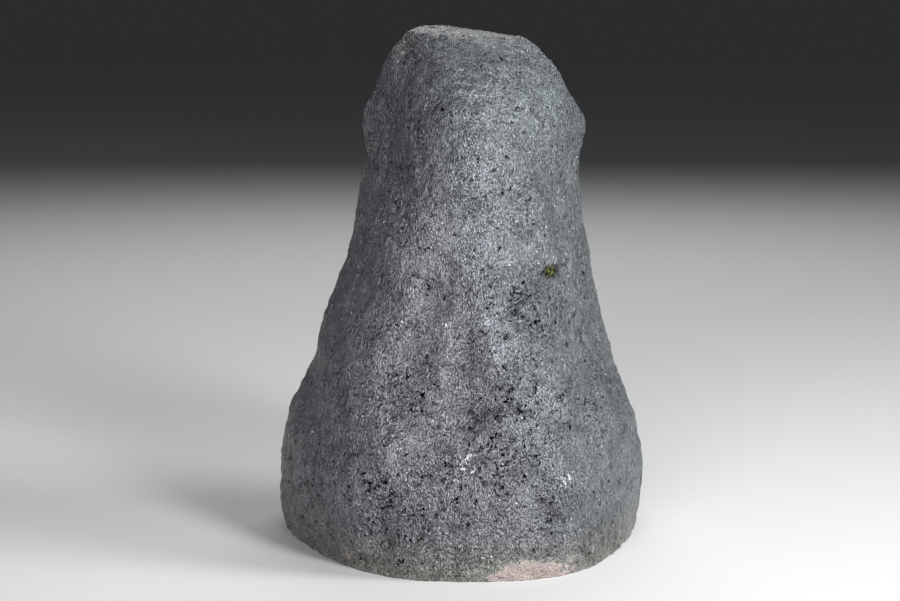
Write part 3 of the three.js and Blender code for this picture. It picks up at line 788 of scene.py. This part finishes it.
# The large crystals take their places first, and smaller ones fill the room between them.
crystals = []
for size in CRYSTAL_SIZES:
    placed = 0
    for _ in range(size["count"] * CRYSTAL_TRIES):
        if placed == size["count"]:
            break
        seat, way = seats[bisect(bed_area, rng.uniform(0, total))]
        radius = rng.uniform(*size["radius"]) * MM
        if any((seat - c["seat"]).length < size["apart"] * (radius + c["radius"]) for c in crystals):
            continue
        crystals.append({"seat": seat, "way": way, "radius": radius})
        placed += 1

bunch = bpy.data.collections.new("loose_crystals")
bpy.context.scene.collection.children.link(bunch)
for crystal in crystals:
    seat, way, radius = crystal["seat"], crystal["way"], crystal["radius"]
    lean = Vector([rng.gauss(0, CRYSTAL_LEAN) for _ in range(3)])
    axis = (way + lean - way * lean.dot(way)).normalized()
    corners = crystal_corners(radius, rng.uniform(*SHANK) * radius, rng.uniform(0, math.tau))
    turn = axis.to_track_quat("Z", "Y")
    mesh = bpy.data.meshes.new("crystal")
    mesh.from_pydata([seat + turn @ c for c in corners], [], CRYSTAL_FACES)
    bunch.objects.link(bpy.data.objects.new("crystal", mesh))

grow = crust.modifiers.new("grow together", "BOOLEAN")
grow.operation = "UNION"
grow.operand_type = "COLLECTION"
grow.collection = bunch
grow.solver = "MANIFOLD"
applied(crust)
for loose in list(bunch.objects):
    bpy.data.objects.remove(loose)
bpy.data.collections.remove(bunch)

# The saw's cut, flush with the rock's front.
saw_mesh = bpy.data.meshes.new("saw_cut")
saw_shape = bmesh.new()
bmesh.ops.create_cube(saw_shape, size=1)
slab_middle = Vector((0, FRONT_REACH, 0)) + SAW_WAY * (SAW_SLAB[1] / 2 - SAW_LINE)
slab_turn = SAW_WAY.to_track_quat("Y", "Z").to_matrix().to_4x4()
slab = Matrix.Translation(slab_middle) @ slab_turn @ Matrix.Diagonal((*SAW_SLAB, 1))
bmesh.ops.transform(saw_shape, matrix=slab, verts=saw_shape.verts)
saw_shape.to_mesh(saw_mesh)
saw_shape.free()
saw = bpy.data.objects.new("saw_cut", saw_mesh)
bpy.context.scene.collection.objects.link(saw)
cut = crust.modifiers.new("saw cut", "BOOLEAN")
cut.operation = "DIFFERENCE"
cut.object = saw
cut.solver = "MANIFOLD"
applied(crust)
bpy.data.objects.remove(saw)
crust.data.materials.clear()

shape = bmesh.new()
shape.from_mesh(crust.data)
bmesh.ops.triangulate(shape, faces=shape.faces[:])


def cut_face_of_crust():
    """The faces that the saw left."""
    least = -SAW_LINE - CUT_FACE_DEPTH
    return [f for f in shape.faces if all(front_distance(v.co) > least for v in f.verts)]


for _ in range(BAND_ROUNDS):
    long = {e for f in cut_face_of_crust() for e in f.edges if e.calc_length() > BAND_EDGE}
    bmesh.ops.subdivide_edges(shape, edges=list(long), cuts=1)
    bmesh.ops.triangulate(shape, faces=[f for f in shape.faces if len(f.verts) > 3])
depth_layer = shape.verts.layers.float.new("depth")
for vertex in shape.verts:
    vertex[depth_layer] = wall_distance(vertex.co) / MM
for face in shape.faces:
    face.smooth = False
    face.material_index = SKIN if all(v[depth_layer] < CRUST_SKIN / MM for v in face.verts) else POINTS
for face in cut_face_of_crust():
    face.material_index = CUT_FACE
shape.to_mesh(crust.data)
shape.free()

# Amethyst: clear quartz that takes its purple from the thickness of crystal that light passes.
AMETHYST_ROOT = (0.97, 0.95, 0.98, 1)
AMETHYST_TIP = (0.93, 0.84, 0.97, 1)
AMETHYST_PURPLE = (0.64, 0.22, 0.86, 1)

amethyst, tree = node_material("amethyst_points")
tint = mix(ramp(attribute("depth"), (4, 13)), AMETHYST_ROOT, AMETHYST_TIP)
clear = add_node(tree, "ShaderNodeBsdfPrincipled", {
    "Base Color": tint, "Roughness": 0.05, "IOR": 1.544, "Transmission Weight": 1.0,
})
inside = add_node(tree, "ShaderNodeVolumeAbsorption", {"Color": AMETHYST_PURPLE, "Density": 55.0})
add_node(tree, "ShaderNodeOutputMaterial", {"Surface": clear.outputs[0], "Volume": inside.outputs[0]})

# The cut rim, from the rock inwards: the green skin, grey and blue bands of agate, milky quartz and then
# amethyst. Each stop is a share of the depth that the bands fill.
BANDS_DEPTH = 10  # millimetres
BAND_STOPS = [
    (0.0, (0.030, 0.045, 0.035, 1)), (0.06, (0.05, 0.07, 0.055, 1)), (0.075, (0.34, 0.38, 0.40, 1)),
    (0.11, (0.12, 0.15, 0.19, 1)), (0.125, (0.40, 0.44, 0.47, 1)), (0.17, (0.17, 0.20, 0.24, 1)),
    (0.185, (0.46, 0.48, 0.50, 1)), (0.24, (0.22, 0.24, 0.29, 1)), (0.26, (0.50, 0.49, 0.53, 1)),
    (0.40, (0.44, 0.38, 0.50, 1)), (0.55, (0.26, 0.16, 0.37, 1)), (0.75, (0.12, 0.05, 0.21, 1)),
    (1.0, (0.07, 0.025, 0.14, 1)),
]

agate, tree = node_material("agate_rim")
place = add_node(tree, "ShaderNodeTexCoord").outputs["Object"]
waved = plus(attribute("depth"), ramp(cloud(place, 9 * MM, detail=3), (0.3, 0.7), (-0.35, 0.35)))
streaks = ramp(cloud(place, 1.2 * MM, detail=3, roughness=0.7), (0.3, 0.7), (-0.12, 0.12))
bands = add_node(tree, "ShaderNodeValToRGB", {0: ramp(plus(waved, streaks), (0, BANDS_DEPTH))})
for at, paint in BAND_STOPS[1:-1]:
    bands.color_ramp.elements.new(at).color = paint
bands.color_ramp.elements[0].color = BAND_STOPS[0][1]
bands.color_ramp.elements[-1].color = BAND_STOPS[-1][1]
surface = add_node(tree, "ShaderNodeBsdfPrincipled", {"Base Color": bands.outputs[0], "Roughness": 0.22})
add_node(tree, "ShaderNodeOutputMaterial", {"Surface": surface.outputs[0]})

# Milky quartz: the skin that the crust turns to the rock.
MILKY_DARK = (0.40, 0.33, 0.48, 1)
MILKY_LIGHT = (0.86, 0.82, 0.90, 1)

milky, tree = node_material("milky_quartz")
place = add_node(tree, "ShaderNodeTexCoord").outputs["Object"]
cloudy = mix(ramp(cloud(place, 6 * MM, detail=3), (0.35, 0.65)), MILKY_DARK, MILKY_LIGHT)
surface = add_node(tree, "ShaderNodeBsdfPrincipled", {"Base Color": cloudy, "Roughness": 0.6})
add_node(tree, "ShaderNodeOutputMaterial", {"Surface": surface.outputs[0]})

crust.data.materials.append(amethyst)
crust.data.materials.append(agate)
crust.data.materials.append(milky)

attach(crust, "root")
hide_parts("amethyst_crust")
